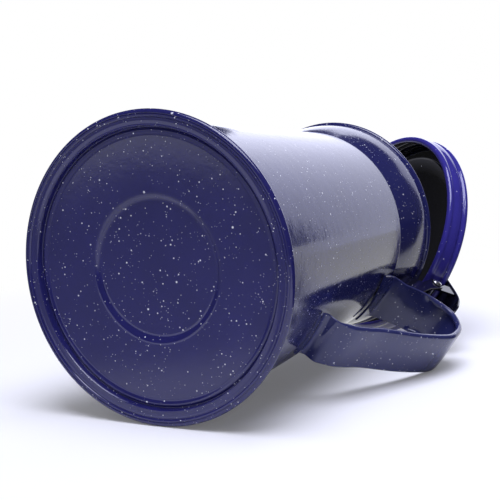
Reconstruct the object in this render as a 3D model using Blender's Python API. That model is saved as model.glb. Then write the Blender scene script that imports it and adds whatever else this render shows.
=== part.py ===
"""Enamelled steel tea kettle with a hinged lid.

The pot is a tapered sheet cone with a seamed base, a flared mouth with a rolled lip, a
welded beak spout and a strap handle with rolled edges. The lid turns on a pin held by a
bracket that stands on the handle's upper leg, and it is shown part open.

Metres, +Z up. The kettle stands on Z = 0, the handle and the hinge are at +X and the spout
is at -X. Each piece is made about the pot's own axis, and at the end the whole kettle is
moved along X so that the origin lies midway between the spout's tip and the handle.
"""

import math

import bmesh
import bpy
from mathutils import Vector

MM = 0.001

# Sheet, clearances and the number of steps in a full turn
SHEET = 1.0 * MM
FIT = 0.3 * MM
CUT_OVERRUN = 4.0 * MM
ROUND_STEPS = 60
SMALL_ROUND_STEPS = 20
SMOOTH_ANGLE = math.radians(35.0)

# Base plate: a stamped disc whose edge is folded over the wall's flange
BASE_RADIUS = 75.0 * MM
BASE_RECESS = 4.0 * MM
HEM_WIDTH = 3.0 * MM
SEAM_FLAT_WIDTH = 4.0 * MM
SEAM_VALLEY_INSET = 5.8 * MM
SEAM_VALLEY_DEPTH = 0.8 * MM
RIDGE_INSET = 7.4 * MM
RIDGE_DEPTH = 0.5 * MM
STEP_TOP_INSET = 8.6 * MM
STEP_BEAD_INSET = 9.8 * MM
STEP_BEAD_RISE = 0.7 * MM
STEP_BEAD_WIDTH = 1.7 * MM
DISC_OUTER_RADIUS = 35.8 * MM
DISC_INNER_RADIUS = 32.2 * MM
DISC_DEPTH = 1.5 * MM

# Wall: a cone from foot to neck, then a flare up to the rolled lip
BODY_HEIGHT = 199.4 * MM
WALL_FOOT_INSET = 6.0 * MM
FOOT_BEND = 2.8 * MM
FOOT_BEND_START = -100.0
WALL_TAPER = 12.5 * MM
FLARE_HEIGHT = 35.4 * MM
FLARE_SPREAD = 4.3 * MM
NECK_BLEND = 3.0 * MM
LIP_BEAD = 1.8 * MM

# Spout: a V-shaped beak over a patch of strainer holes
SPOUT_RIM_DROP = 11.4 * MM
SPOUT_HEIGHT = 76.0 * MM
SPOUT_REACH = 27.0 * MM
SPOUT_RIM_RISE = 7.0 * MM
SPOUT_HALF_WIDTH = 25.0 * MM
SPOUT_FOOT_HALF_WIDTH = 3.0 * MM
SPOUT_FLANGE = 2.5 * MM
SPOUT_STATIONS = 14
SPOUT_REACH_POWER = 1.25
SPOUT_WIDTH_POWER = 0.75
SPOUT_NOSE_POWER = 1.7
SPOUT_SECTION_SHARES = (0.0, 0.12, 0.28, 0.45, 0.62, 0.8, 0.92, 1.0)
STRAINER_HOLE = 4.4 * MM
STRAINER_PITCH = 9.0 * MM
STRAINER_RISE = 24.0 * MM
STRAINER_WIDTH_SHARE = 0.72

# Handle: a strap with rolled edges; the outline is in shares of its reach and height
HANDLE_OVERHANG = 46.4 * MM
HANDLE_TOP_DROP = 23.4 * MM
HANDLE_SPAN = 113.5 * MM
HANDLE_HALF_WIDTH = 12.8 * MM
HANDLE_SHEET = 1.2 * MM
HANDLE_CURL_DEPTH = 3.4 * MM
STRAP_FLAT_SHARES = (1.0 / 3.0, 2.0 / 3.0)
LOWER_FOOT_LENGTH = 5.5 * MM
LOWER_FOOT_SHARES = (1.0, 0.45)
LOWER_BEND_DROP = 0.6 * MM
UPPER_FOOT_LENGTH = 18.0 * MM
UPPER_FOOT_SHARES = (0.25, 0.6, 1.0)
UPPER_FOOT_SPREAD = 2.2 * MM
UPPER_FOOT_FLARE = 3.0 * MM
HANDLE_LOWER_SHARES = (
    (0.17, 0.012),
    (0.335, 0.075),
    (0.445, 0.16),
    (0.555, 0.27),
)
HANDLE_GRIP_SHARES = (
    (0.82, 0.49),
    (0.985, 0.69),
    (1.0, 0.80),
    (0.945, 0.90),
    (0.83, 0.965),
)
HANDLE_UPPER_SHARES = (
    (0.69, 1.0),
    (0.50, 0.99),
    (0.32, 0.945),
    (0.145, 0.88),
)
HANDLE_STEPS_PER_POINT = 3
CURL_ARC_STEPS = 5

# Lid: an edge bead, a banded side, a flat shelf and a shallow dome
LID_BEAD_INSET = 0.8 * MM
LID_BEAD = 2.0 * MM
LID_BAND_OVERHANG = 1.6 * MM
LID_BAND_FOOT = 5.2 * MM
LID_BAND_TOP = 9.0 * MM
LID_GROOVE_OVERHANG = 0.9 * MM
LID_GROOVE_HEIGHT = 10.2 * MM
LID_SHOULDER_OVERHANG = 2.2 * MM
LID_SHOULDER_HEIGHT = 12.2 * MM
LID_SHELF_HEIGHT = 14.2 * MM
LID_SHELF_INSET = 8.2 * MM
LID_DOME_HEIGHT = 24.5 * MM
LID_DOME_POWER = 1.6
LID_DOME_STEPS = 6
LID_SHOULDER_START = -25.0
LID_BEAD_STEPS = 9
LID_BEAD_OPEN = 30.0
LID_BEAD_CLOSE = 62.0

# Knob and its fixing
KNOB_RADIUS = 14.0 * MM
KNOB_FOOT_RADIUS = 8.0 * MM
KNOB_WAIST_RADIUS = 6.0 * MM
KNOB_HEIGHT = 19.0 * MM
KNOB_WAIST_SHARE = 0.3
KNOB_CAP_SHARE = 0.32
KNOB_CAP_START = -50.0
KNOB_BORE_DEPTH = 11.0 * MM
KNOB_PROFILE_STEPS = 7
WASHER_RADIUS = 10.0 * MM
WASHER_THICKNESS = 1.0 * MM
SCREW_RADIUS = 2.0 * MM
SCREW_HEAD_RADIUS = 4.5 * MM
SCREW_HEAD_HEIGHT = 2.2 * MM
SCREW_CROWN_SHARE = 0.75
SCREW_ENTRY = 9.0 * MM

# Hinge: pin, bracket cheeks outside, leaf ears inside
HINGE_OVERHANG = 9.7 * MM
HINGE_RISE = 0.8 * MM
LID_OPEN_ANGLE = math.radians(37.6)
PIN_RADIUS = 1.5 * MM
PIN_HEAD_RADIUS = 2.9 * MM
PIN_HEAD_HEIGHT = 1.3 * MM
PIN_CROWN_SHARE = 0.6
PIN_EDGE_SHARES = (0.85, 0.3)
BRACKET_SHEET = 1.2 * MM
BRACKET_HALF_WIDTH = 10.3 * MM
BRACKET_EAR_RADIUS = 4.4 * MM
BRACKET_WEB_OFFSET = 2.0 * MM
BRACKET_WEB_DROP = 11.4 * MM
BRACKET_WALL_DROP = 18.4 * MM
EAR_ARC_STEPS = 10
EAR_ARC_OVERRUN = 20.0

# Leaf: the strip that runs from the lid's shelf over the pin to the thumb tab
LEAF_SHEET = 1.2 * MM
LEAF_HALF_WIDTH = 9.7 * MM
LEAF_TIP_SHARE = 0.55
LEAF_EAR_RADIUS = 3.9 * MM
LEAF_LENGTH = 24.8 * MM
LEAF_DROP = 12.6 * MM
LEAF_STEPS_PER_POINT = 3
LEAF_EDGE_STEPS = 4
LEAF_PROFILE_SHARES = (
    (-0.04, 0.01),
    (0.18, 0.05),
    (0.38, 0.15),
    (0.56, 0.33),
    (0.79, 0.63),
    (1.0, 1.0),
)
RIVET_RADIUS = 1.5 * MM
RIVET_HEAD_RADIUS = 2.8 * MM
RIVET_HEAD_HEIGHT = 1.2 * MM
RIVET_CROWN_SHARES = (0.7, 0.65)
RIVET_SPACING = 10.0 * MM

# Sizes that follow from the ones above
SEAM_FLAT_INNER = BASE_RADIUS - SEAM_FLAT_WIDTH
SEAM_VALLEY_RADIUS = BASE_RADIUS - SEAM_VALLEY_INSET
RIDGE_RADIUS = BASE_RADIUS - RIDGE_INSET
STEP_TOP_RADIUS = BASE_RADIUS - STEP_TOP_INSET
STEP_BEAD_RADIUS = BASE_RADIUS - STEP_BEAD_INSET
WALL_FOOT_RADIUS = BASE_RADIUS - WALL_FOOT_INSET
NECK_RADIUS = WALL_FOOT_RADIUS - WALL_TAPER
NECK_HEIGHT = BODY_HEIGHT - FLARE_HEIGHT
LIP_RADIUS = NECK_RADIUS + FLARE_SPREAD
SPOUT_RIM_HEIGHT = BODY_HEIGHT - SPOUT_RIM_DROP
SPOUT_FOOT_HEIGHT = SPOUT_RIM_HEIGHT - SPOUT_HEIGHT
STRAINER_FOOT_HEIGHT = SPOUT_FOOT_HEIGHT + STRAINER_RISE
HANDLE_REACH = LIP_RADIUS + HANDLE_OVERHANG
HANDLE_HIGH = BODY_HEIGHT - HANDLE_TOP_DROP
HANDLE_LOW = HANDLE_HIGH - HANDLE_SPAN
LID_BEAD_RADIUS = LIP_RADIUS - LID_BEAD_INSET
LID_BAND_RADIUS = LIP_RADIUS + LID_BAND_OVERHANG
LID_GROOVE_RADIUS = LIP_RADIUS + LID_GROOVE_OVERHANG
LID_SHOULDER_RADIUS = LIP_RADIUS + LID_SHOULDER_OVERHANG
LID_SHELF_INNER = LIP_RADIUS - LID_SHELF_INSET
HINGE_X = LIP_RADIUS + HINGE_OVERHANG
BRACKET_WEB_X = HINGE_X + BRACKET_WEB_OFFSET
BRACKET_WEB_TOP = BODY_HEIGHT - BRACKET_WEB_DROP
BRACKET_WALL_TOP = BODY_HEIGHT - BRACKET_WALL_DROP
FLANGE_UNDERSIDE = SHEET + FIT
FLANGE_TOP = FLANGE_UNDERSIDE + SHEET
HEM_UNDERSIDE = FLANGE_TOP + FIT
HEM_TOP = HEM_UNDERSIDE + SHEET
FOOT_TOP = FLANGE_TOP + FOOT_BEND
LIP_CENTRE_RADIUS = LIP_RADIUS - LIP_BEAD
LIP_CENTRE_HEIGHT = BODY_HEIGHT - LIP_BEAD
LIP_INNER_RADIUS = LIP_CENTRE_RADIUS - LIP_BEAD
LID_SEAT = BODY_HEIGHT + FIT
HINGE_Z = BODY_HEIGHT + HINGE_RISE
LEAF_UNDERSIDE = LID_SEAT + LID_SHELF_HEIGHT + FIT - HINGE_Z
RIVET_X = (LID_SHELF_INNER + LID_SHOULDER_RADIUS) / 2.0
EAR_OUTER_Y = BRACKET_HALF_WIDTH - BRACKET_SHEET - FIT


def material(name, colour, roughness, metallic=0.0):
    """Principled material with one colour, roughness and metallic value."""
    made = bpy.data.materials.new(name)
    made.use_nodes = True
    shader = made.node_tree.nodes["Principled BSDF"]
    shader.inputs["Base Color"].default_value = (*colour, 1.0)
    shader.inputs["Roughness"].default_value = roughness
    shader.inputs["Metallic"].default_value = metallic
    made.diffuse_color = (*colour, 1.0)
    return made


def add_object(name, mesh_builder, finish, parent=None):
    """Turn a bmesh into a named object with outward faces and smooth shading."""
    bmesh.ops.remove_doubles(mesh_builder, verts=mesh_builder.verts, dist=FIT * 1e-3)
    bmesh.ops.recalc_face_normals(mesh_builder, faces=mesh_builder.faces)
    if mesh_builder.calc_volume(signed=True) < 0.0:
        bmesh.ops.reverse_faces(mesh_builder, faces=mesh_builder.faces)
    mesh = bpy.data.meshes.new(name)
    mesh_builder.to_mesh(mesh)
    mesh_builder.free()
    mesh.shade_smooth()
    mesh.set_sharp_from_angle(angle=SMOOTH_ANGLE)
    made = bpy.data.objects.new(name, mesh)
    bpy.context.collection.objects.link(made)
    if finish is not None:
        mesh.materials.append(finish)
    made.parent = parent
    return made


def arc(centre, radius, start, end, steps):
    """Points on an arc from the start angle to the end angle, in degrees."""
    points = []
    for step in range(steps + 1):
        angle = math.radians(start + (end - start) * step / steps)
        points.append((centre[0] + radius * math.cos(angle), centre[1] + radius * math.sin(angle)))
    return points


def offset_path(points, distance):
    """The path moved sideways to its left by a distance, with mitred corners."""
    moved = []
    for index, point in enumerate(points):
        before = points[max(index - 1, 0)]
        after = points[min(index + 1, len(points) - 1)]
        normals = []
        for start, end in ((before, point), (point, after)):
            run = math.hypot(end[0] - start[0], end[1] - start[1])
            if run > 0.0:
                normals.append(((start[1] - end[1]) / run, (end[0] - start[0]) / run))
        mean = (sum(n[0] for n in normals), sum(n[1] for n in normals))
        length = math.hypot(*mean)
        mean = (mean[0] / length, mean[1] / length)
        miter = distance / (mean[0] * normals[0][0] + mean[1] * normals[0][1])
        moved.append((point[0] + mean[0] * miter, point[1] + mean[1] * miter))
    return moved


def smooth_path(points, steps):
    """Catmull-Rom curve through the points, with a number of steps between neighbours."""
    path = []
    last = len(points) - 1
    for index in range(last):
        quad = [points[min(max(index + shift, 0), last)] for shift in (-1, 0, 1, 2)]
        for step in range(steps):
            t = step / steps
            weights = (
                (-t + 2 * t * t - t ** 3) / 2,
                (2 - 5 * t * t + 3 * t ** 3) / 2,
                (t + 4 * t * t - 3 * t ** 3) / 2,
                (t ** 3 - t * t) / 2,
            )
            path.append(tuple(sum(w * p[axis] for w, p in zip(weights, quad)) for axis in (0, 1)))
    path.append(points[last])
    return path


def turned(name, outline, finish, parent=None, centre=(0.0, 0.0, 0.0), steps=ROUND_STEPS):
    """Solid of revolution about Z; the outline is a closed loop of (radius, height)."""
    work = bmesh.new()
    verts = [work.verts.new((radius, 0.0, height)) for radius, height in outline]
    edges = [work.edges.new((verts[i], verts[(i + 1) % len(verts)])) for i in range(len(verts))]
    axis_edges = [e for e in edges if all(v.co.x == 0.0 for v in e.verts)]
    bmesh.ops.delete(work, geom=axis_edges, context="EDGES")
    bmesh.ops.spin(
        work,
        geom=list(work.verts) + list(work.edges),
        cent=(0.0, 0.0, 0.0),
        axis=(0.0, 0.0, 1.0),
        angle=math.tau,
        steps=steps,
        use_merge=True,
    )
    bmesh.ops.translate(work, verts=work.verts, vec=centre)
    return add_object(name, work, finish, parent)


def lofted(name, rings, finish, parent=None, end_strips=False):
    """Skin over rings of equal length, closed at both ends.

    A bent sheet asks for end strips: point i of its ring faces point count - 1 - i across
    the sheet. Any other ring is closed by one face.
    """
    work = bmesh.new()
    rows = [[work.verts.new(point) for point in ring] for ring in rings]
    count = len(rows[0])
    for first, second in zip(rows, rows[1:]):
        for i in range(count):
            j = (i + 1) % count
            work.faces.new((first[i], first[j], second[j], second[i]))
    for row in (rows[0], rows[-1]):
        if not end_strips:
            work.faces.new(row)
            continue
        for i in range(count // 2 - 1):
            corners = (row[i], row[i + 1], row[count - 2 - i], row[count - 1 - i])
            work.faces.new(corners)
    return add_object(name, work, finish, parent)


def plate(name, outline, low_y, high_y, finish=None, parent=None):
    """Outline in the XZ plane extruded along Y from low_y to high_y."""
    work = bmesh.new()
    face = work.faces.new([work.verts.new((x, low_y, z)) for x, z in outline])
    grown = bmesh.ops.extrude_face_region(work, geom=[face])
    moved = [item for item in grown["geom"] if isinstance(item, bmesh.types.BMVert)]
    bmesh.ops.translate(work, verts=moved, vec=(0.0, high_y - low_y, 0.0))
    return add_object(name, work, finish, parent)


def round_bar(name, start, end, radius, parent=None):
    """Plain cylinder between two points, used as a cutter."""
    work = bmesh.new()
    run = Vector(end) - Vector(start)
    bmesh.ops.create_cone(
        work,
        cap_ends=True,
        segments=SMALL_ROUND_STEPS,
        radius1=radius,
        radius2=radius,
        depth=run.length,
    )
    turn = Vector((0.0, 0.0, 1.0)).rotation_difference(run).to_matrix()
    bmesh.ops.rotate(work, verts=work.verts, cent=(0.0, 0.0, 0.0), matrix=turn)
    bmesh.ops.translate(work, verts=work.verts, vec=(Vector(start) + Vector(end)) / 2.0)
    return add_object(name, work, None, parent)


def combine(target, tool, operation):
    """Exact Boolean of the target with a tool object that stays hidden."""
    step = target.modifiers.new(tool.name, "BOOLEAN")
    step.operation = operation
    step.solver = "EXACT"
    step.object = tool
    tool.hide_render = True
    tool.display_type = "WIRE"


def wall_radius(height):
    """Outer radius of the pot's wall: a cone up to the neck, a straight flare above it."""
    if height <= NECK_HEIGHT:
        share = (height - FOOT_TOP) / (NECK_HEIGHT - FOOT_TOP)
        return WALL_FOOT_RADIUS + share * (NECK_RADIUS - WALL_FOOT_RADIUS)
    share = (height - NECK_HEIGHT) / (LIP_CENTRE_HEIGHT - NECK_HEIGHT)
    return NECK_RADIUS + share * (LIP_INNER_RADIUS + SHEET - NECK_RADIUS)


def build_body(finish):
    """Wall with its foot flange, cone, flare and rolled lip, and the strainer holes."""
    flange_radius = BASE_RADIUS - HEM_TOP / 2.0
    bend_centre = (WALL_FOOT_RADIUS + FOOT_BEND, FOOT_TOP)
    outer = [(flange_radius, FLANGE_TOP)]
    outer += arc(bend_centre, FOOT_BEND, FOOT_BEND_START, -180.0, 4)
    for height in (NECK_HEIGHT - NECK_BLEND, NECK_HEIGHT, NECK_HEIGHT + NECK_BLEND):
        blend = NECK_BLEND * (NECK_RADIUS - wall_radius(NECK_HEIGHT + NECK_BLEND)) / NECK_HEIGHT
        outer.append((wall_radius(height) - blend, height))
    crossing = math.degrees(math.acos((SHEET - LIP_BEAD) / LIP_BEAD))
    wall_top = LIP_CENTRE_HEIGHT - LIP_BEAD * math.sin(math.radians(crossing))
    outer.append((wall_radius(LIP_CENTRE_HEIGHT), wall_top))
    inner = offset_path(outer, SHEET)
    inner[0] = (flange_radius, FLANGE_UNDERSIDE)
    inner[-1] = (LIP_INNER_RADIUS, LIP_CENTRE_HEIGHT)
    bead = arc((LIP_CENTRE_RADIUS, LIP_CENTRE_HEIGHT), LIP_BEAD, -crossing, 180.0, 12)
    body = turned("body_shell", outer[:-1] + bead + inner[-2::-1], finish)

    cutter = bmesh.new()
    row = 0
    height = STRAINER_FOOT_HEIGHT
    while height < SPOUT_RIM_HEIGHT - STRAINER_PITCH:
        radius = wall_radius(height)
        reach = STRAINER_WIDTH_SHARE * spout_half_width(height)
        count = int(reach / STRAINER_PITCH + 0.5 * (row % 2))
        places = range(-count, count + 1)
        shift = 0.0
        if row % 2:
            places = range(-count, count)
            shift = STRAINER_PITCH / 2.0
        for place in places:
            angle = math.pi + (place * STRAINER_PITCH + shift) / radius
            outward = Vector((math.cos(angle), math.sin(angle), 0.0))
            made = bmesh.ops.create_cone(
                cutter,
                cap_ends=True,
                segments=SMALL_ROUND_STEPS // 2,
                radius1=STRAINER_HOLE / 2.0,
                radius2=STRAINER_HOLE / 2.0,
                depth=CUT_OVERRUN * 2.0,
            )
            turn = Vector((0.0, 0.0, 1.0)).rotation_difference(outward).to_matrix()
            bmesh.ops.rotate(cutter, verts=made["verts"], cent=(0.0, 0.0, 0.0), matrix=turn)
            spot = outward * radius + Vector((0.0, 0.0, height))
            bmesh.ops.translate(cutter, verts=made["verts"], vec=spot)
        row += 1
        height += STRAINER_PITCH * math.sqrt(0.75)
    combine(body, add_object("strainer_cutter", cutter, None), "DIFFERENCE")
    return body


def build_base(finish):
    """Stamped base with a sunk disc and a bead; its edge is folded over the wall's flange."""
    edge = BASE_RADIUS - (HEM_TOP / 2.0)
    lower = [(0.0, BASE_RECESS + DISC_DEPTH)]
    lower.append((DISC_INNER_RADIUS, BASE_RECESS + DISC_DEPTH))
    lower.append((DISC_OUTER_RADIUS, BASE_RECESS))
    lower.append((STEP_BEAD_RADIUS - STEP_BEAD_WIDTH, BASE_RECESS))
    lower.append((STEP_BEAD_RADIUS, BASE_RECESS - STEP_BEAD_RISE))
    lower.append((STEP_TOP_RADIUS, BASE_RECESS))
    lower.append((RIDGE_RADIUS, RIDGE_DEPTH))
    lower.append((SEAM_VALLEY_RADIUS, SEAM_VALLEY_DEPTH))
    lower.append((SEAM_FLAT_INNER, 0.0))
    lower.append((edge, 0.0))
    fold = arc((edge, HEM_TOP / 2.0), HEM_TOP / 2.0, -90.0, 90.0, 7)
    hem_inner = BASE_RADIUS - HEM_WIDTH
    flange_room = arc((edge, HEM_TOP / 2.0), HEM_TOP / 2.0 - SHEET, 90.0, -90.0, 4)
    upper = offset_path(lower, SHEET)[:-1]
    upper[0] = (0.0, BASE_RECESS + DISC_DEPTH + SHEET)
    hem = [(hem_inner, HEM_TOP), (hem_inner, HEM_UNDERSIDE)]
    loop = lower + fold[1:] + hem + flange_room + upper[::-1]
    return turned("bottom_plate", loop, finish)


def spout_share(height):
    """How far up the spout a height lies, from 0 at its foot to 1 at its rim."""
    share = (height - SPOUT_FOOT_HEIGHT) / (SPOUT_RIM_HEIGHT - SPOUT_FOOT_HEIGHT)
    return min(max(share, 0.0), 1.0)


def spout_half_width(height):
    """Half width of the spout where it meets the wall, measured round the wall."""
    grown = spout_share(height) ** SPOUT_WIDTH_POWER
    return SPOUT_FOOT_HALF_WIDTH + grown * (SPOUT_HALF_WIDTH - SPOUT_FOOT_HALF_WIDTH)


def spout_section(share):
    """Ring of points round the spout's sheet at one station, outer face then inner."""
    height = SPOUT_FOOT_HEIGHT + share * (SPOUT_RIM_HEIGHT - SPOUT_FOOT_HEIGHT)
    seat = wall_radius(height) + FIT
    half_angle = spout_half_width(height) / seat
    flange_angle = half_angle + SPOUT_FLANGE / seat
    reach = SPOUT_REACH * share ** SPOUT_REACH_POWER
    polar = [(flange_angle, 0.0)]
    for side in reversed(SPOUT_SECTION_SHARES):
        polar.append((half_angle * side, reach * (1.0 - side ** SPOUT_NOSE_POWER)))
    polar = polar + [(-angle, out) for angle, out in reversed(polar[:-1])]
    inside = []
    for angle, out in polar:
        distance = seat + out
        inside.append((-distance * math.cos(angle), distance * math.sin(angle)))
    outside = offset_path(inside, -SHEET)
    ring = []
    for x, y in inside + outside[::-1]:
        beyond = max(-x - seat, 0.0) / SPOUT_REACH
        ring.append((x, y, height + share * SPOUT_RIM_RISE * beyond))
    return ring


def build_spout(finish):
    """Beak welded to the wall, open at the top and against the strainer holes."""
    rings = [spout_section(i / SPOUT_STATIONS) for i in range(SPOUT_STATIONS + 1)]
    return lofted("spout", rings, finish, end_strips=True)


def strap_section(centre, tangent, half_width, thickness, curl_depth, hold, edge_steps):
    """Ring round a strap whose outer face is at the centre, with a curl under each edge.

    A curl depth equal to the thickness gives a plain round edge. The hold bends the strap
    sideways round the wall: 1 with its inner face on the wall, -1 with its outer face on
    it, 0 for a flat strap.
    """
    length = math.hypot(*tangent)
    outward = (tangent[1] / length, -tangent[0] / length)
    radius = curl_depth / 2.0
    edge = arc((half_width - radius, -radius), radius, 90.0, -90.0, edge_steps)
    edge.append((half_width - curl_depth, -curl_depth))
    edge.append((half_width - curl_depth - thickness, -thickness))
    top = [(edge[0][0] * share, 0.0) for share in STRAP_FLAT_SHARES]
    bottom = [(edge[-1][0] * share, -thickness) for share in reversed(STRAP_FLAT_SHARES)]
    half = top + edge + bottom
    loop = half + [(-across, depth) for across, depth in reversed(half)]
    wall = wall_radius(centre[1]) + FIT
    ring = []
    for across, depth in loop:
        out = depth - hold * (wall - math.sqrt(wall ** 2 - across ** 2))
        ring.append((centre[0] + outward[0] * out, across, centre[1] + outward[1] * out))
    return ring


def path_tangents(path):
    """Direction of travel at each point of a path."""
    last = len(path) - 1
    tangents = []
    for i in range(len(path)):
        before = path[max(i - 1, 0)]
        after = path[min(i + 1, last)]
        tangents.append((after[0] - before[0], after[1] - before[1]))
    return tangents


def handle_path():
    """Outer face of the strap from the lower foot, round the grip, to the upper foot."""
    rise = HANDLE_HIGH - HANDLE_LOW
    seat = FIT + HANDLE_SHEET

    def place(reach_share, height_share):
        height = HANDLE_LOW + height_share * rise
        start = wall_radius(height) + seat
        return (start + reach_share * (HANDLE_REACH - start), height)

    lower_foot = []
    for share in LOWER_FOOT_SHARES:
        height = HANDLE_LOW - share * LOWER_FOOT_LENGTH
        lower_foot.append((wall_radius(height) + seat, height))
    bend = (wall_radius(HANDLE_LOW) + seat * 2.0, HANDLE_LOW - LOWER_BEND_DROP)
    middle = [place(*pair) for pair in HANDLE_LOWER_SHARES + HANDLE_GRIP_SHARES]
    upper = [place(*pair) for pair in HANDLE_UPPER_SHARES]
    leg_end = upper[-1][1]
    upper_foot = []
    for share in UPPER_FOOT_SHARES:
        height = leg_end - share * UPPER_FOOT_LENGTH
        spread = UPPER_FOOT_SPREAD * (1.0 - share)
        upper_foot.append((wall_radius(height) + FIT + spread, height))
    return lower_foot + [bend] + middle + upper + upper_foot


def leg_top(x):
    """Height of the handle's upper leg's outer face at a distance from the axis."""
    points = handle_path()
    first_upper = len(points) - len(UPPER_FOOT_SHARES) - len(HANDLE_UPPER_SHARES)
    leg = smooth_path(points[first_upper:-2], HANDLE_STEPS_PER_POINT)
    nearest = min(point[0] for point in leg)
    wanted = max(x, nearest)
    heights = []
    for first, second in zip(leg, leg[1:]):
        if (first[0] - wanted) * (second[0] - wanted) <= 0.0 and first[0] != second[0]:
            share = (wanted - first[0]) / (second[0] - first[0])
            heights.append(first[1] + share * (second[1] - first[1]))
    return max(heights)


def build_handle(finish):
    """Strap handle; its edges are curled toward the hand except at its two feet."""
    points = handle_path()
    path = smooth_path(points, HANDLE_STEPS_PER_POINT)
    tangents = path_tangents(path)
    low_foot_end = (len(LOWER_FOOT_SHARES) + 1) * HANDLE_STEPS_PER_POINT
    high_foot_start = len(path) - 1 - len(UPPER_FOOT_SHARES) * HANDLE_STEPS_PER_POINT
    rings = []
    for i, (centre, tangent) in enumerate(zip(path, tangents)):
        from_low = (i - low_foot_end) / HANDLE_STEPS_PER_POINT
        from_high = (i - high_foot_start) / HANDLE_STEPS_PER_POINT
        curl = min(max(min(from_low, -from_high - 1.0), 0.0), 1.0)
        curl_depth = HANDLE_SHEET + curl * (HANDLE_CURL_DEPTH - HANDLE_SHEET)
        spread = min(max(from_high / len(UPPER_FOOT_SHARES), 0.0), 1.0)
        half_width = HANDLE_HALF_WIDTH + spread * UPPER_FOOT_FLARE
        hold = min(max(-from_low, 0.0), 1.0) - min(max(from_high - 1.0, 0.0), 1.0)
        section = strap_section(
            centre, tangent, half_width, HANDLE_SHEET, curl_depth, hold, CURL_ARC_STEPS
        )
        rings.append(section)
    return lofted("handle_strap", rings, finish)


def build_bracket(finish):
    """Folded bracket on the handle's upper leg, with two cheeks that hold the pin."""
    wall_x = wall_radius(BRACKET_WALL_TOP) + FIT
    ear_ends = (-EAR_ARC_OVERRUN, 180.0 + EAR_ARC_OVERRUN)
    ear = arc((HINGE_X, HINGE_Z), BRACKET_EAR_RADIUS, *ear_ends, EAR_ARC_STEPS)
    outline = [
        (wall_x, leg_top(wall_x) + FIT),
        ((wall_x + BRACKET_WEB_X) / 2.0, leg_top((wall_x + BRACKET_WEB_X) / 2.0) + FIT),
        (BRACKET_WEB_X, leg_top(BRACKET_WEB_X) + FIT),
        (BRACKET_WEB_X, BRACKET_WEB_TOP),
    ]
    outline = outline + ear + [(HINGE_X - BRACKET_EAR_RADIUS, BRACKET_WEB_TOP)]
    outline.append((wall_x, BRACKET_WALL_TOP))
    inner_y = BRACKET_HALF_WIDTH - BRACKET_SHEET
    bracket = plate("hinge_bracket", outline, -BRACKET_HALF_WIDTH, -inner_y, finish)
    far_cheek = plate("far_cheek", outline, inner_y, BRACKET_HALF_WIDTH)
    web_x = BRACKET_WEB_X - BRACKET_SHEET
    foot = leg_top(web_x) + FIT
    web_outline = [(web_x, foot), (BRACKET_WEB_X, leg_top(BRACKET_WEB_X) + FIT)]
    web_outline += [(BRACKET_WEB_X, BRACKET_WEB_TOP), (web_x, BRACKET_WEB_TOP)]
    overlap = BRACKET_SHEET / 2.0
    web = plate("bracket_web", web_outline, -inner_y - overlap, inner_y + overlap)
    combine(bracket, far_cheek, "UNION")
    combine(bracket, web, "UNION")
    reach = BRACKET_HALF_WIDTH + CUT_OVERRUN
    bore = round_bar(
        "bracket_bore",
        (HINGE_X, -reach, HINGE_Z),
        (HINGE_X, reach, HINGE_Z),
        PIN_RADIUS + FIT,
    )
    combine(bracket, bore, "DIFFERENCE")
    return bracket


def build_pin(finish):
    """Hinge pin with a domed head outside each cheek."""
    seat = BRACKET_HALF_WIDTH + FIT
    outline = [(0.0, -seat - PIN_HEAD_HEIGHT)]
    for radius_share, height_share in zip((PIN_CROWN_SHARE, 1.0), PIN_EDGE_SHARES):
        outline.append((PIN_HEAD_RADIUS * radius_share, -seat - PIN_HEAD_HEIGHT * height_share))
    outline += [(PIN_HEAD_RADIUS, -seat), (PIN_RADIUS, -seat)]
    outline += [(radius, -height) for radius, height in reversed(outline)]
    pin = turned("hinge_pin", outline, finish, steps=SMALL_ROUND_STEPS)
    pin.rotation_euler = (math.radians(90.0), 0.0, 0.0)
    pin.location = (HINGE_X, 0.0, HINGE_Z)
    return pin


def lid_outer_path():
    """Outer face of the lid from its edge bead to the crown, heights above the lid's seat."""
    start = arc((LID_BEAD_RADIUS, LID_BEAD), LID_BEAD, LID_BEAD_OPEN, LID_BEAD_OPEN, 1)[0]
    path = [start, (LID_BAND_RADIUS - FIT, (start[1] + LID_BAND_FOOT) / 2.0)]
    path += [(LID_BAND_RADIUS, LID_BAND_FOOT), (LID_BAND_RADIUS, LID_BAND_TOP)]
    path += [(LID_GROOVE_RADIUS, LID_GROOVE_HEIGHT)]
    shoulder = LID_SHELF_HEIGHT - LID_SHOULDER_HEIGHT
    centre = (LID_SHOULDER_RADIUS - shoulder, LID_SHOULDER_HEIGHT)
    path += arc(centre, shoulder, LID_SHOULDER_START, 90.0, 4)
    path += [(LID_SHELF_INNER, LID_SHELF_HEIGHT)]
    rise = LID_DOME_HEIGHT - LID_SHELF_HEIGHT
    for step in range(1, LID_DOME_STEPS):
        angle = math.radians(90.0 * step / LID_DOME_STEPS)
        radius = LID_SHELF_INNER * math.cos(angle)
        path.append((radius, LID_SHELF_HEIGHT + rise * math.sin(angle) ** LID_DOME_POWER))
    path.append((WASHER_RADIUS, LID_DOME_HEIGHT))
    path.append((SCREW_RADIUS + FIT, LID_DOME_HEIGHT))
    return path


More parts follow.
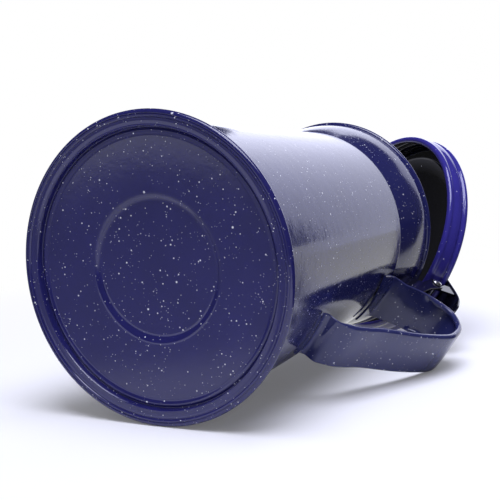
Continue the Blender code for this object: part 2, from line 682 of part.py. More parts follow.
def build_lid(finish, parent):
    """Lid pressing with its rolled edge, and the holes for its rivets and its knob."""
    outer = lid_outer_path()
    inner = offset_path(outer, SHEET)
    inner[-1] = (SCREW_RADIUS + FIT, LID_DOME_HEIGHT - SHEET)
    centre = (LID_BEAD_RADIUS, LID_BEAD)
    bead = arc(centre, LID_BEAD, LID_BEAD_CLOSE - 360.0, LID_BEAD_OPEN, LID_BEAD_STEPS)
    outline = bead[:-1] + outer + inner[:1:-1]
    place = (-HINGE_X, 0.0, LID_SEAT - HINGE_Z)
    lid = turned("lid_shell", outline, finish, parent, place)
    for side in (-1.0, 1.0):
        combine(lid, rivet_cutter("lid", side, parent), "DIFFERENCE")
    return lid


def rivet_cutter(owner, side, parent):
    """Bore for one leaf rivet."""
    x = RIVET_X - HINGE_X
    y = side * RIVET_SPACING / 2.0
    middle = LEAF_UNDERSIDE
    reach = SHEET + CUT_OVERRUN / 2.0
    name = f"{owner}_rivet_bore_{'left' if side < 0.0 else 'right'}"
    return round_bar(name, (x, y, middle - reach), (x, y, middle + reach), RIVET_RADIUS + FIT, parent)


def build_leaf(finish, parent):
    """Hinge leaf: strip on the lid's shelf, two ears on the pin and a thumb tab."""
    top = LEAF_UNDERSIDE + LEAF_SHEET
    start_x = LID_SHELF_INNER + FIT * 2.0 - HINGE_X
    flat_x = LID_SHOULDER_RADIUS - HINGE_X
    points = [(start_x, top), ((start_x + flat_x) / 2.0, top), (flat_x, top)]
    for out, down in LEAF_PROFILE_SHARES:
        points.append((out * LEAF_LENGTH, top - down * LEAF_DROP))
    path = smooth_path(points[::-1], LEAF_STEPS_PER_POINT)[::-1]
    rings = []
    for i, (centre, tangent) in enumerate(zip(path, path_tangents(path))):
        left = sum(math.dist(a, b) for a, b in zip(path[i:], path[i + 1:]))
        share = min(left / LEAF_HALF_WIDTH, 1.0)
        rounding = math.sqrt(1.0 - (1.0 - share) ** 2)
        half_width = LEAF_HALF_WIDTH * (LEAF_TIP_SHARE + (1.0 - LEAF_TIP_SHARE) * rounding)
        backward = (-tangent[0], -tangent[1])
        section = strap_section(
            centre, backward, half_width, LEAF_SHEET, LEAF_SHEET, 0.0, LEAF_EDGE_STEPS
        )
        rings.append(section)
    leaf = lofted("lid_hinge_leaf", rings, finish, parent)
    bite = LEAF_SHEET / 2.0
    for side in (-1.0, 1.0):
        ear = arc((0.0, 0.0), LEAF_EAR_RADIUS, 180.0, 360.0, EAR_ARC_STEPS)
        ear += [(LEAF_EAR_RADIUS, LEAF_UNDERSIDE + bite), (-LEAF_EAR_RADIUS, LEAF_UNDERSIDE + bite)]
        faces = sorted((side * EAR_OUTER_Y, side * (EAR_OUTER_Y - LEAF_SHEET)))
        side_name = "left" if side < 0.0 else "right"
        combine(leaf, plate(f"leaf_ear_{side_name}", ear, *faces, parent=parent), "UNION")
        combine(leaf, rivet_cutter("leaf", side, parent), "DIFFERENCE")
    reach = LEAF_HALF_WIDTH + CUT_OVERRUN
    bore = round_bar("leaf_bore", (0.0, -reach, 0.0), (0.0, reach, 0.0), PIN_RADIUS + FIT, parent)
    combine(leaf, bore, "DIFFERENCE")
    return leaf


def build_rivets(finish, parent):
    """Two rivets that hold the leaf to the lid's shelf."""
    head_seat = LEAF_UNDERSIDE + LEAF_SHEET + FIT
    tail_seat = LEAF_UNDERSIDE - FIT - SHEET - FIT
    crown_radius = RIVET_HEAD_RADIUS * RIVET_CROWN_SHARES[0]
    crown_rise = RIVET_HEAD_HEIGHT * RIVET_CROWN_SHARES[1]
    outline = [(0.0, head_seat + RIVET_HEAD_HEIGHT)]
    outline.append((crown_radius, head_seat + crown_rise))
    outline.append((RIVET_HEAD_RADIUS, head_seat))
    outline.append((RIVET_RADIUS, head_seat))
    outline.append((RIVET_RADIUS, tail_seat))
    outline.append((RIVET_HEAD_RADIUS, tail_seat))
    outline.append((crown_radius, tail_seat - crown_rise))
    outline.append((0.0, tail_seat - RIVET_HEAD_HEIGHT))
    for side, name in ((-1.0, "leaf_rivet_left"), (1.0, "leaf_rivet_right")):
        centre = (RIVET_X - HINGE_X, side * RIVET_SPACING / 2.0, 0.0)
        turned(name, outline, finish, parent, centre, SMALL_ROUND_STEPS)


def build_knob(knob_finish, metal_finish, parent):
    """Turned knob, the washer under it and the screw that holds both to the lid."""
    centre = (-HINGE_X, 0.0, LID_SEAT - HINGE_Z)
    washer_foot = LID_DOME_HEIGHT + FIT
    washer_top = washer_foot + WASHER_THICKNESS
    bore = SCREW_RADIUS + FIT
    washer = [(bore, washer_foot), (WASHER_RADIUS, washer_foot)]
    washer += [(WASHER_RADIUS, washer_top), (bore, washer_top)]
    turned("knob_washer", washer, metal_finish, parent, centre, SMALL_ROUND_STEPS * 2)

    foot = washer_top + FIT
    crown = foot + KNOB_HEIGHT
    cap = KNOB_HEIGHT * KNOB_CAP_SHARE
    waist = foot + KNOB_HEIGHT * KNOB_WAIST_SHARE
    knob = [(bore, foot), (KNOB_FOOT_RADIUS, foot), (KNOB_WAIST_RADIUS, waist)]
    swell = arc((0.0, 0.0), 1.0, KNOB_CAP_START, 90.0, KNOB_PROFILE_STEPS)
    knob += [(KNOB_RADIUS * across, crown - cap + cap * up) for across, up in swell[:-1]]
    knob += [(0.0, crown), (0.0, foot + KNOB_BORE_DEPTH), (bore, foot + KNOB_BORE_DEPTH)]
    turned("lid_knob", knob, knob_finish, parent, centre, SMALL_ROUND_STEPS * 2)

    head_seat = LID_DOME_HEIGHT - SHEET - FIT
    head_low = head_seat - SCREW_HEAD_HEIGHT
    tip = foot + SCREW_ENTRY
    screw = [(0.0, head_low), (SCREW_HEAD_RADIUS * SCREW_CROWN_SHARE, head_low)]
    screw += [(SCREW_HEAD_RADIUS, head_seat - SCREW_HEAD_HEIGHT / 2.0), (SCREW_HEAD_RADIUS, head_seat)]
    screw += [(SCREW_RADIUS, head_seat), (SCREW_RADIUS, tip), (0.0, tip)]
    turned("knob_screw", screw, metal_finish, parent, centre, SMALL_ROUND_STEPS)


def build():
    """Make every piece of the kettle in an emptied scene."""
    for old in list(bpy.data.objects):
        bpy.data.objects.remove(old)
    enamel = material("speckled_enamel", (0.035, 0.035, 0.16), 0.18)
    base_enamel = material("base_enamel", (0.03, 0.03, 0.13), 0.2)
    spout_enamel = material("spout_enamel", (0.04, 0.04, 0.18), 0.18)
    handle_enamel = material("handle_enamel", (0.04, 0.045, 0.14), 0.2)
    bracket_enamel = material("bracket_enamel", (0.012, 0.012, 0.03), 0.15)
    lid_enamel = material("lid_enamel", (0.03, 0.02, 0.22), 0.15)
    leaf_enamel = material("leaf_enamel", (0.01, 0.01, 0.04), 0.15)
    steel = material("plated_steel", (0.5, 0.5, 0.52), 0.3, 1.0)
    black = material("black_knob", (0.01, 0.01, 0.012), 0.3)

    build_body(enamel)
    build_base(base_enamel)
    build_spout(spout_enamel)
    build_handle(handle_enamel)
    build_bracket(bracket_enamel)
    build_pin(steel)

    hinge = bpy.data.objects.new("lid_hinge_axis", None)
    bpy.context.collection.objects.link(hinge)
    hinge.location = (HINGE_X, 0.0, HINGE_Z)
    hinge.rotation_euler = (0.0, LID_OPEN_ANGLE, 0.0)
    build_lid(lid_enamel, hinge)
    build_leaf(leaf_enamel, hinge)
    build_rivets(steel, hinge)
    build_knob(black, steel, hinge)

    spout_tip = max(-point[0] for point in spout_section(1.0))
    for made in bpy.data.objects:
        if made.parent is None:
            made.location.x -= (HANDLE_REACH - spout_tip) / 2.0


build()
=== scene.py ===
"""Enamelled tea kettle lying on its side on a pale table, seen from below its base.

Lengths in this file are millimetres about the pot's own axis and become metres in the meshes.
"""

import math

import bmesh
import bpy
import numpy as np
from mathutils import Matrix, Vector


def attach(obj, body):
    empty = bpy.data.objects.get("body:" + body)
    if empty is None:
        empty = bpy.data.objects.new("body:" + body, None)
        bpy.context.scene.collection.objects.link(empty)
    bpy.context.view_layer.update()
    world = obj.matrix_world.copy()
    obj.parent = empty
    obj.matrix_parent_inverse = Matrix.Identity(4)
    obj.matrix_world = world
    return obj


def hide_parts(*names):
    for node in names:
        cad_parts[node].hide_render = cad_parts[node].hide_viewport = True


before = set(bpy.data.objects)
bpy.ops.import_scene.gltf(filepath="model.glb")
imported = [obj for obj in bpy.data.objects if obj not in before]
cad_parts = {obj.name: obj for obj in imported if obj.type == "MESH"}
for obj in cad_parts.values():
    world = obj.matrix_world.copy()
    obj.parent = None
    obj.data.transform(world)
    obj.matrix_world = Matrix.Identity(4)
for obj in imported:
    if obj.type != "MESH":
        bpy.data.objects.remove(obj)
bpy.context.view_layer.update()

MM = 0.001
POT_X = -10.5835          # the pot's axis in the part's frame
SHEET = 1.0               # thickness of the enamelled sheet
CLEARANCE = 0.3           # room between neighbouring pieces
HINGE = np.array([70.5, 0.0, 200.2])
OPEN_ANGLE = math.radians(37.6)

WALL_FOOT = (69.0, 5.1)
NECK = (56.5, 164.0)
FLARE_TOP = (58.2, 197.6)
LIP_CENTRE = (59.0, 197.6)
LIP_BEAD = 1.8
SEAM_RADIUS = 73.2        # where the seam's fold has its centre
SEAM_FOLD = 1.8

SPOUT_LOW, SPOUT_HEIGHT, SPOUT_REACH = 112.0, 76.0, 27.0
SPOUT_HALF_LOW, SPOUT_HALF_GROWTH, SPOUT_SPREAD = 3.0, 22.0, 0.75
HOLE_LOW, HOLE_HIGH, HOLE_PITCH, HOLE_RADIUS = 136.0, 179.0, 9.0, 2.2

HANDLE_LOW, HANDLE_HIGH, HANDLE_REACH = 62.5, 176.0, 107.2
HANDLE_SHEET, HANDLE_HALF, CURL, CROWN = 1.2, 12.8, 1.7, 0.35

LID_SEAT = 199.7          # the closed lid's lowest level
SHELF, SHELF_RADIUS = 14.2, 52.6
DOME_RISE = 10.3
DOME_TOP = SHELF + DOME_RISE
SCREW_HOLE = 2.3
LEAF_SHEET, LEAF_HALF, LEAF_REACH, LEAF_DROP = 1.2, 9.7, 24.8, 12.6
BRACKET_FRONT, BRACKET_TOP, BRACKET_SHEET = 72.5, 188.0, 1.2
RIVET_X, RIVET_Y = 57.8, 5.0
WASHER = 1.0
KNOB_HEIGHT, KNOB_RADIUS, KNOB_SWELL = 19.0, 14.0, 6.08


# Curves in a plane


def arc(centre, radius, start, end, steps):
    """Points at centre + radius (cos a, sin a), with a even from start to end in degrees."""
    turn = np.radians(np.linspace(start, end, steps + 1))
    return np.stack([centre[0] + radius * np.cos(turn), centre[1] + radius * np.sin(turn)], 1)


def rounded(points, radius, steps=6, closed=False):
    """Polyline whose corners are quadratic blends.

    Each corner P gives way to (1-t)^2 A + 2t(1-t) P + t^2 B, where A and B lie on the two
    sides at the blend radius from P, or at 0.45 of the side where that is shorter.
    """
    points = np.asarray(points, float)
    radius = np.broadcast_to(radius, len(points))
    t = np.linspace(0.0, 1.0, steps + 1)[:, None]
    made = [] if closed else [points[:1]]
    corners = range(len(points)) if closed else range(1, len(points) - 1)
    for i in corners:
        corner = points[i]
        before = points[i - 1] - corner
        after = points[(i + 1) % len(points)] - corner
        reach = min(radius[i], 0.45 * np.linalg.norm(before), 0.45 * np.linalg.norm(after))
        a = corner + before / np.linalg.norm(before) * reach
        b = corner + after / np.linalg.norm(after) * reach
        made.append((1 - t) ** 2 * a + 2 * t * (1 - t) * corner + t ** 2 * b)
    if not closed:
        made.append(points[-1:])
    return np.concatenate(made)


def through(points, steps):
    """Catmull-Rom curve through the points: cubic weights of the four nearest ones."""
    points = np.asarray(points, float)
    padded = np.concatenate([points[:1], points, points[-1:]])
    t = np.arange(steps)[:, None, None] / steps
    a, b, c, d = padded[:-3], padded[1:-2], padded[2:-1], padded[3:]
    cubic = 2 * b + (c - a) * t + (2 * a - 5 * b + 4 * c - d) * t ** 2
    cubic = 0.5 * (cubic + (3 * b - a - 3 * c + d) * t ** 3)
    return np.concatenate([cubic.transpose(1, 0, 2).reshape(-1, points.shape[1]), points[-1:]])


def beside(path, distance):
    """The path moved to its left by a distance along the mean normal of its two sides."""
    run = np.gradient(path, axis=0)
    run /= np.linalg.norm(run, axis=1, keepdims=True)
    return path + distance * np.stack([-run[:, 1], run[:, 0]], 1)


def wall_radius(height):
    """Outer radius of the wall: straight from foot to neck, then straight to the lip."""
    radii, heights = zip(WALL_FOOT, NECK, FLARE_TOP)
    return np.interp(height, heights, radii)


# Meshes from grids


def piece(name, points, faces, body, finish, slot, smooth=math.radians(50)):
    """Object with its place in its mesh: points in millimetres about the pot's axis."""
    mesh = bpy.data.meshes.new(name)
    places = np.asarray(points, float).reshape(-1, 3) + (POT_X, 0.0, 0.0)
    mesh.from_pydata(places * MM, [], [list(face) for face in faces])
    work = bmesh.new()
    work.from_mesh(mesh)
    bmesh.ops.remove_doubles(work, verts=work.verts, dist=2e-6)
    bmesh.ops.recalc_face_normals(work, faces=work.faces)
    if work.calc_volume(signed=True) < 0.0:
        bmesh.ops.reverse_faces(work, faces=work.faces)
    work.to_mesh(mesh)
    work.free()
    mesh.shade_smooth()
    mesh.set_sharp_from_angle(angle=smooth)
    mesh.materials.append(finish)
    made = bpy.data.objects.new(name, mesh)
    bpy.context.collection.objects.link(made)
    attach(made, body)
    return made


def grid_faces(rows, columns, wrap_rows, wrap_columns, caps=False):
    """Quads between neighbours of a rows by columns grid, wrapped and capped as asked."""
    i = np.arange(rows if wrap_rows else rows - 1)[:, None]
    j = np.arange(columns if wrap_columns else columns - 1)[None, :]
    down = (i + 1) % rows
    right = (j + 1) % columns
    corners = [i * columns + j, i * columns + right, down * columns + right, down * columns + j]
    faces = np.stack([np.broadcast_to(c, (len(i), j.shape[1])) for c in corners], -1).reshape(-1, 4)
    faces = [list(map(int, face)) for face in faces]
    if caps:
        faces.append(list(range(columns))[::-1])
        faces.append(list(range((rows - 1) * columns, rows * columns)))
    return faces


def turned(outline, steps=240):
    """Solid of revolution: point (r, z) of the outline becomes (r cos a, r sin a, z).

    The outline is a closed loop, or runs from axis to axis.
    """
    outline = np.asarray(outline, float)
    a = np.linspace(0.0, math.tau, steps, endpoint=False)[None, :]
    r, z = outline[:, :1], outline[:, 1:]
    points = np.stack([r * np.cos(a), r * np.sin(a), z + 0 * a], -1)
    closed = outline[0, 0] > 0.0
    faces = grid_faces(len(outline), steps, closed, True)
    return points.reshape(-1, 3), faces


def with_lid(points):
    """Closed-lid places turned by the open angle about the hinge, rear edge down."""
    away = np.asarray(points, float) - HINGE
    c, s = math.cos(OPEN_ANGLE), math.sin(OPEN_ANGLE)
    x, z = away[:, 0], away[:, 2]
    return np.stack([x * c + z * s, away[:, 1], z * c - x * s], 1) + HINGE


# Shader maths


class Value:
    """A socket of one material's node tree; its arithmetic adds Math nodes."""

    def __init__(self, tree, socket):
        self.tree, self.socket = tree, socket

    def node(self, kind, settings=None, output=0, **inputs):
        """New node of a type, its settings first, then its sockets by name or place."""
        made = self.tree.nodes.new(kind)
        for key, value in (settings or {}).items():
            setattr(made, key, value)
        for key, value in inputs.items():
            numbered = key[0] == "i" and key[1:].isdigit()
            socket = made.inputs[int(key[1:]) if numbered else key.replace("_", " ")]
            if isinstance(value, Value):
                self.tree.links.new(value.socket, socket)
            else:
                socket.default_value = value
        return Value(self.tree, made.outputs[output])

    def math(self, operation, a, b=0.0, clamp=False):
        return self.node("ShaderNodeMath", {"operation": operation, "use_clamp": clamp}, i0=a, i1=b)

    def __add__(self, other):
        return self.math("ADD", self, other)

    def __sub__(self, other):
        return self.math("SUBTRACT", self, other)

    def __rsub__(self, other):
        return self.math("SUBTRACT", other, self)

    def __mul__(self, other):
        return self.math("MULTIPLY", self, other)

    def __truediv__(self, other):
        return self.math("DIVIDE", self, other)

    __radd__ = __add__
    __rmul__ = __mul__

    def clamped(self):
        """The value held between 0 and 1."""
        return self.math("ADD", self, 0.0, clamp=True)

    def below(self, edge, soft):
        """1 where the value is under the edge, falling to 0 over the soft width."""
        return ((edge - self) / soft).clamped()

    def noise(self, size, detail=2.0):
        """Smooth noise whose features are about a size across, in millimetres."""
        return self.node("ShaderNodeTexNoise", {"noise_dimensions": "3D"}, 0, Vector=self,
                         Scale=1.0 / (size * MM), Detail=detail)

    def bumped(self, shader, depth, height, strength=1.0):
        """Bump of a depth in millimetres, driven by a height, put on the shader's normal."""
        bump = self.node("ShaderNodeBump", None, 0, Strength=strength, Distance=depth * MM, Height=height)
        self.tree.links.new(bump.socket, shader.inputs["Normal"])

    def mixed(self, first, second):
        """First colour where the value is 0, second where it is 1."""
        first = first if isinstance(first, Value) else (*first, 1.0)
        second = second if isinstance(second, Value) else (*second, 1.0)
        return self.node("ShaderNodeMix", {"data_type": "RGBA"}, 2, i0=self, i6=first, i7=second)


def finish(name, **fixed):
    """Empty Principled material and its Object coordinates; fixed socket values as given."""
    made = bpy.data.materials.new(name)
    made.use_nodes = True
    tree = made.node_tree
    shader = tree.nodes["Principled BSDF"]
    for key, value in fixed.items():
        shader.inputs[key.replace("_", " ")].default_value = value
    coordinates = tree.nodes.new("ShaderNodeTexCoord")
    return made, tree, shader, Value(tree, coordinates.outputs["Object"])


def specks(place, size, radius, share):
    """Round flecks of up to a radius in mm, in a share of cells of a size in mm.

    A fleck's radius is 0.35 to 1.1 of the radius given, by chance, and its rim is soft.
    """
    cells = {"voronoi_dimensions": "3D", "feature": "F1"}
    distance = place.node("ShaderNodeTexVoronoi", cells, 0, Vector=place, Scale=1.0 / (size * MM))
    tint = place.node("ShaderNodeTexVoronoi", cells, 1, Vector=place, Scale=1.0 / (size * MM))
    chosen = place.node("ShaderNodeSeparateColor", None, 0, Color=tint)
    spread = place.node("ShaderNodeSeparateColor", None, 1, Color=tint)
    edge = (spread * 0.75 + 0.35) * (radius / size)
    rim = 0.22 * radius / size
    return distance.below(edge, rim) * chosen.below(share, 0.001)


def enamel(name, deep, bright, flecks=1.0, gloss=0.09, peel=1.0):
    """Glossy fired enamel: clouded blue ground, raised pale flecks and orange peel.

    The fine and tiny flecks crowd together where a slow noise is high. The surface height
    is fine and coarse orange peel plus the flecks.
    """
    made, tree, shader, place = finish(name, IOR=1.6)
    crowd = place.noise(size=14.0) * 1.6 - 0.3
    fine = specks(place, size=2.3, radius=0.42, share=crowd * 0.9 * flecks)
    coarse = specks(place, size=5.2, radius=0.6, share=0.4 * flecks)
    tiny = specks(place, size=1.3, radius=0.24, share=crowd * flecks)
    fleck = (fine + coarse + tiny * 0.7).clamped()
    cloud = place.noise(size=26.0, detail=3.0)
    grain = place.noise(size=1.1, detail=1.0)
    ground = (cloud * 0.75 + grain * 0.25).mixed(deep, bright)
    tree.links.new(fleck.mixed(ground, WHITE_FLECK).socket, shader.inputs["Base Color"])
    rough = gloss + 0.05 * place.noise(size=9.0) + fleck * 0.08
    tree.links.new(rough.socket, shader.inputs["Roughness"])
    fine_peel = place.noise(size=1.5, detail=1.0) * 0.55 * peel
    coarse_peel = place.noise(size=6.0, detail=1.0) * 1.1 * peel
    place.bumped(shader, depth=0.022, height=fine_peel + coarse_peel + fleck * 1.6)
    return made


def plated(name):
    """Nickel-plated steel: cloudy grey, uneven polish and a fine grain."""
    made, tree, shader, place = finish(name, Metallic=1.0)
    tone = place.noise(size=2.4, detail=3.0).mixed((0.42, 0.42, 0.44), (0.66, 0.66, 0.68))
    tree.links.new(tone.socket, shader.inputs["Base Color"])
    tree.links.new((place.noise(size=1.2) * 0.22 + 0.12).socket, shader.inputs["Roughness"])
    place.bumped(shader, depth=0.01, height=place.noise(size=0.5), strength=0.6)
    return made


def knob_plastic(name):
    """Moulded black phenolic: nearly black, uneven gloss and a fine grain."""
    made, tree, shader, place = finish(name, IOR=1.5)
    tone = place.noise(size=5.0, detail=3.0).mixed((0.008, 0.008, 0.009), (0.02, 0.019, 0.02))
    tree.links.new(tone.socket, shader.inputs["Base Color"])
    tree.links.new((place.noise(size=2.0, detail=4.0) * 0.2 + 0.14).socket, shader.inputs["Roughness"])
    place.bumped(shader, depth=0.01, height=place.noise(size=1.0, detail=3.0), strength=0.5)
    return made


WHITE_FLECK = (0.72, 0.73, 0.8)
wall_blue = enamel("wall_enamel", (0.011, 0.012, 0.075), (0.021, 0.023, 0.125), peel=1.8)
base_blue = enamel("base_enamel", (0.013, 0.013, 0.085), (0.022, 0.021, 0.135), flecks=0.85)
# The handle's enamel is a lighter copy of the wall's enamel: painted light, standing in for light its
# shaded place does not get.
handle_blue_painted_light = enamel("handle_enamel", (0.02, 0.023, 0.095), (0.034, 0.039, 0.15), flecks=0.8)
lid_violet = enamel("lid_enamel", (0.026, 0.022, 0.19), (0.05, 0.04, 0.33), flecks=0.3, gloss=0.07)
lid_dark = enamel("lid_lining", (0.003, 0.003, 0.006), (0.007, 0.007, 0.013),
                  flecks=0.03, gloss=0.08, peel=0.6)
dark_enamel = enamel("hinge_enamel", (0.004, 0.004, 0.012), (0.009, 0.009, 0.022),
                     flecks=0.12, gloss=0.06, peel=0.5)
steel = plated("plated_steel")
black = knob_plastic("knob_black")


# The pot


def pot_wall():
    """Closed outline of the wall, turned: flange, foot bend, cone, flare, bead, inner face."""
    bend_radius = 2.8
    bend = arc((WALL_FOOT[0] + bend_radius, WALL_FOOT[1]), bend_radius, -100.0, -180.0, 10)
    flare = through([NECK, (57.9, 173.0), (59.0, 182.0), (59.4, 190.0), (59.3, 195.8)], 8)
    flange = (SEAM_RADIUS, 2.3)
    outer = np.concatenate([[flange], bend, [(62.6, 86.0)], [(56.78, 160.5)], flare])
    neck = len(bend) + 3
    radii = np.full(len(outer), 0.01)
    radii[neck] = 2.2
    outer = rounded(outer, radii, 5)
    inner = beside(outer, SHEET)
    inner[0] = (SEAM_RADIUS, 1.3)
    bead = arc(LIP_CENTRE, LIP_BEAD, -76.0, 205.0, 30)
    outline = np.concatenate([outer[:-1], bead, inner[::-1][1:]])
    return turned(outline, 300)


def strainer_holes():
    """Plugs through the wall behind the spout, in staggered rows of equal pitch."""
    points, faces, start = [], [], 0
    row, height = 0, HOLE_LOW
    ring = np.radians(np.arange(0, 360, 15))
    used, plug_half = 0.72, 5.0
    while height < HOLE_HIGH:
        share = (height - SPOUT_LOW) / SPOUT_HEIGHT
        reach = used * (SPOUT_HALF_LOW + share ** SPOUT_SPREAD * SPOUT_HALF_GROWTH)
        count = int(reach / HOLE_PITCH + 0.5 * (row % 2))
        places = np.arange(-count, count + 1) * HOLE_PITCH
        if row % 2:
            places = np.arange(-count, count) * HOLE_PITCH + HOLE_PITCH / 2
        for shift in places:
            a = math.pi + shift / wall_radius(height)
            out = np.array([math.cos(a), math.sin(a), 0.0])
            side = np.array([-math.sin(a), math.cos(a), 0.0])
            disc = np.cos(ring)[:, None] * side + np.sin(ring)[:, None] * (0.0, 0.0, 1.0)
            middle = HOLE_RADIUS * disc + out * wall_radius(height) + (0.0, 0.0, height)
            points += [middle - plug_half * out, middle + plug_half * out]
            plug = grid_faces(2, len(ring), False, True, True)
            faces += [[start + v for v in face] for face in plug]
            start += 2 * len(ring)
        row += 1
        height += HOLE_PITCH * math.sqrt(0.75)
    return np.concatenate(points), faces


def base_plate():
    """Closed outline of the stamped base, turned: sunk disc, bead, step, ridge, valley, seam, fold.

    Each row of the lower face is (radius, height, blend radius). The upper face follows a
    plainer outline one sheet above it, and the fold closes over the wall's flange.
    """
    edge = SEAM_RADIUS
    disc = [(0.0, 5.7, 0.0), (32.7, 5.7, 1.4), (35.4, 4.0, 1.4)]
    bead = [(63.0, 4.0, 1.2), (64.1, 3.55, 0.6), (65.0, 3.25, 0.5), (65.7, 3.55, 0.45), (66.35, 4.1, 0.3)]
    step = [(66.8, 3.9, 0.3), (67.0, 1.2, 0.3), (67.4, 0.5, 0.4), (68.0, 0.65, 0.5)]
    seam = [(69.8, 0.75, 0.6), (70.9, 0.5, 0.3), (71.3, 0.75, 0.25), (71.8, 0.15, 0.3), (72.4, 0.0, 0.3)]
    seam += [(72.8, 0.2, 0.25), (73.05, 0.35, 0.1), (edge + 0.25, 0.0, 0.0)]
    rows = np.array(disc + bead + step + seam)
    under = rounded(rows[:, :2], rows[:, 2], 5)
    fold = arc((edge, SEAM_FOLD), SEAM_FOLD, -90.0, 90.0, 20)
    room = arc((edge, SEAM_FOLD), SEAM_FOLD - SHEET, 90.0, -90.0, 8)
    plain = [(66.4, 4.0, 0.8), (67.2, 1.1, 0.6), (68.4, 0.6, 0.5), (edge, 0.3, 0.0)]
    plain = np.array(disc + plain)
    over = beside(rounded(plain[:, :2], plain[:, 2], 5), SHEET)[:-1]
    over[0] = (0.0, 6.7)
    hem = rounded([(edge, 3.6), (72.0, 3.6), (72.0, 2.6), (edge, 2.6)], 0.3, 4)
    return turned(np.concatenate([under[:-1], fold, hem[1:-1], room, over[::-1]]), 300)


def spout_sheet():
    """Beak: at share s of its height the sheet stands reach(s)(1 - side^1.7) off the wall.

    Reach is 27 s^1.25, the half width is 3 + 22 s^0.75 round the wall, and the rim rises
    by 7 s for each reach beyond the wall. The sheet is 1 mm thick.
    """
    rim_rise, flap = 7.0, 2.5
    s = np.linspace(0.0, 1.0, 50)[:, None]
    height = SPOUT_LOW + SPOUT_HEIGHT * s
    seat = wall_radius(height) + CLEARANCE
    half = (SPOUT_HALF_LOW + SPOUT_HALF_GROWTH * s ** SPOUT_SPREAD) / seat
    fall = np.linspace(1.0, 0.0, 26)
    side = np.concatenate([[1.0], fall, fall[::-1][1:], [1.0]])[None, :]
    column = np.arange(side.shape[1])[None, :]
    sign = np.sign(column - (side.shape[1] - 1) / 2)
    angle = half * side
    angle = angle + np.where(column % (side.shape[1] - 1) == 0, flap / seat, 0.0)
    out = SPOUT_REACH * s ** 1.25 * (1.0 - side ** 1.7)
    angle, reach = -sign * angle, seat + out
    inside = np.stack([-reach * np.cos(angle), reach * np.sin(angle), height + 0 * angle], -1)
    run = np.gradient(inside[..., :2], axis=1)
    run /= np.linalg.norm(run, axis=-1, keepdims=True)
    normal = np.stack([run[..., 1], -run[..., 0]], -1)
    outside = inside.copy()
    outside[..., :2] += normal * SHEET * 0.999
    ring = np.concatenate([inside, outside[:, ::-1]], 1)
    beyond = np.maximum(-ring[..., 0] - seat, 0.0) / SPOUT_REACH
    ring[..., 2] += s * rim_rise * beyond
    return ring.reshape(-1, 3), grid_faces(ring.shape[0], ring.shape[1], False, True, True)


def handle_path():
    """Outer face of the strap in the XZ plane, from its lower foot to its upper foot.

    Each share is (of the reach beyond the wall, of the height from HANDLE_LOW to HANDLE_HIGH).
    """
    seat = CLEARANCE + HANDLE_SHEET
    share = [(0.17, 0.012), (0.335, 0.075), (0.445, 0.16), (0.555, 0.27), (0.82, 0.49)]
    share += [(0.985, 0.69), (1.0, 0.80), (0.945, 0.90), (0.83, 0.965), (0.69, 1.0)]
    share += [(0.50, 0.99), (0.32, 0.945), (0.145, 0.88)]
    share = np.array(share)
    height = HANDLE_LOW + share[:, 1] * (HANDLE_HIGH - HANDLE_LOW)
    start = wall_radius(height) + seat
    middle = np.stack([start + share[:, 0] * (HANDLE_REACH - start), height], 1)
    low = np.array([HANDLE_LOW - 5.5, HANDLE_LOW - 2.475])
    low = np.stack([wall_radius(low) + seat, low], 1)
    bend = [(wall_radius(HANDLE_LOW) + 2 * seat, HANDLE_LOW - 0.6)]
    down = np.array([0.25, 0.6, 1.0])
    foot_drop, foot_lift = 18.0, 2.2
    high = height[-1] - down * foot_drop
    high = np.stack([wall_radius(high) + CLEARANCE + foot_lift * (1.0 - down), high], 1)
    return np.concatenate([low, bend, middle, high])


